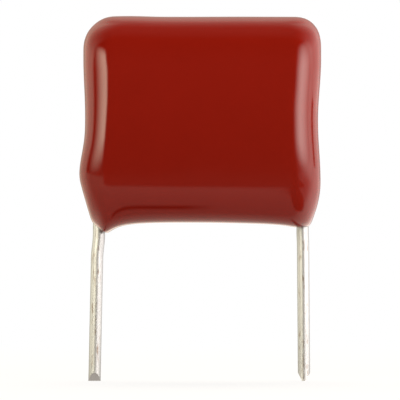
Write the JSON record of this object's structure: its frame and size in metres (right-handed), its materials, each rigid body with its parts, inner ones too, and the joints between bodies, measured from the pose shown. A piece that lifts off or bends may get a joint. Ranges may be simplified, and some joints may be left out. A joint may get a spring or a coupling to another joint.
{
  "type": "polyester film capacitor",
  "caption": "Dipped polyester film capacitor: a rounded, slightly waisted red-brown epoxy block over a flat-pressed film roll, with tinned wire leads for through-hole soldering.",
  "frame": {"origin": "on the underside of the coating, midway between the two leads, where the part meets a board", "axes": "+X from the left lead to the right lead, +Y from the front face to the back, +Z from the leads up through the body"},
  "size_m": [0.0119, 0.0058, 0.0179],
  "materials": {
    "epoxy": "glossy dipped resin",
    "film": "metallised film, pressed roll",
    "sprayed_metal": "rough sprayed zinc",
    "tinned_wire": "bright tin plating"
  },
  "bodies": {
    "root": {"epoxy_coating": "epoxy", "film_winding": "film", "left_end_spray": "sprayed_metal", "right_end_spray": "sprayed_metal", "left_lead": "tinned_wire", "right_lead": "tinned_wire"}
  },
  "joints": []
}
